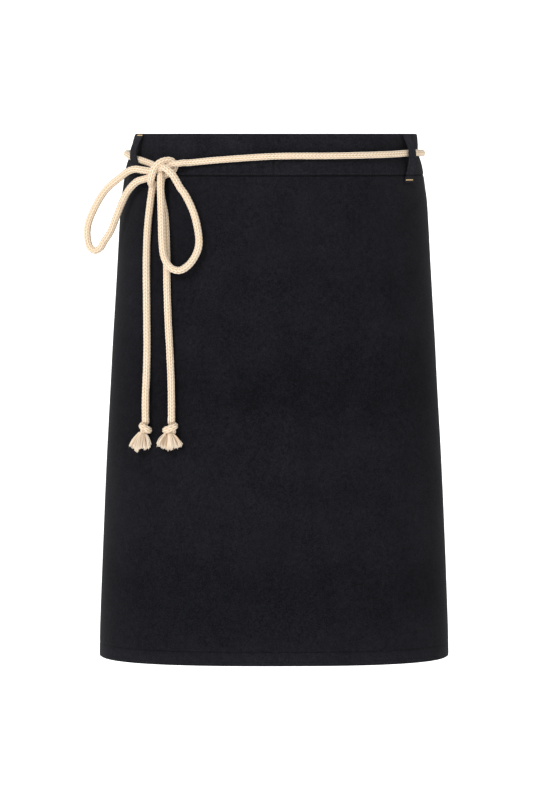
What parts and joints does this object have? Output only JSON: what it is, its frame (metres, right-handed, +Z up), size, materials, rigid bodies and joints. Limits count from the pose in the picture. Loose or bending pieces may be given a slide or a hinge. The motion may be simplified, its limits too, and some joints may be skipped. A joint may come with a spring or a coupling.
{
  "type": "waist apron",
  "caption": "Long waist apron in black cotton twill with a stitched waistband and a natural cotton rope tied in a bow at the side.",
  "frame": {"origin": "centre of the waist opening, level with the waistband's top edge", "axes": "+Z up through the waist opening, +Y towards the open back, +X to the right as the front is seen"},
  "size_m": [0.4544, 0.2322, 0.65],
  "materials": {
    "black_twill": "matt twill",
    "black_twill_band": "matt twill, doubled",
    "black_twill_loops": "matt twill, folded strap",
    "cotton_rope": "matt braided cotton",
    "cotton_strands": "matt frayed cotton"
  },
  "bodies": {
    "root": {"apron_panel": "black_twill", "waistband_left": "black_twill_band", "waistband_right": "black_twill_band", "belt_loop_left": "black_twill_loops", "belt_loop_right": "black_twill_loops", "rope_belt": "cotton_rope", "bow_knot": "cotton_rope", "bow_loop_left": "cotton_rope", "bow_loop_right": "cotton_rope", "tail_left": "cotton_rope", "tail_right": "cotton_rope", "end_knot_left": "cotton_rope", "end_knot_right": "cotton_rope", "tassel_left": "cotton_strands", "tassel_right": "cotton_strands"}
  },
  "joints": []
}
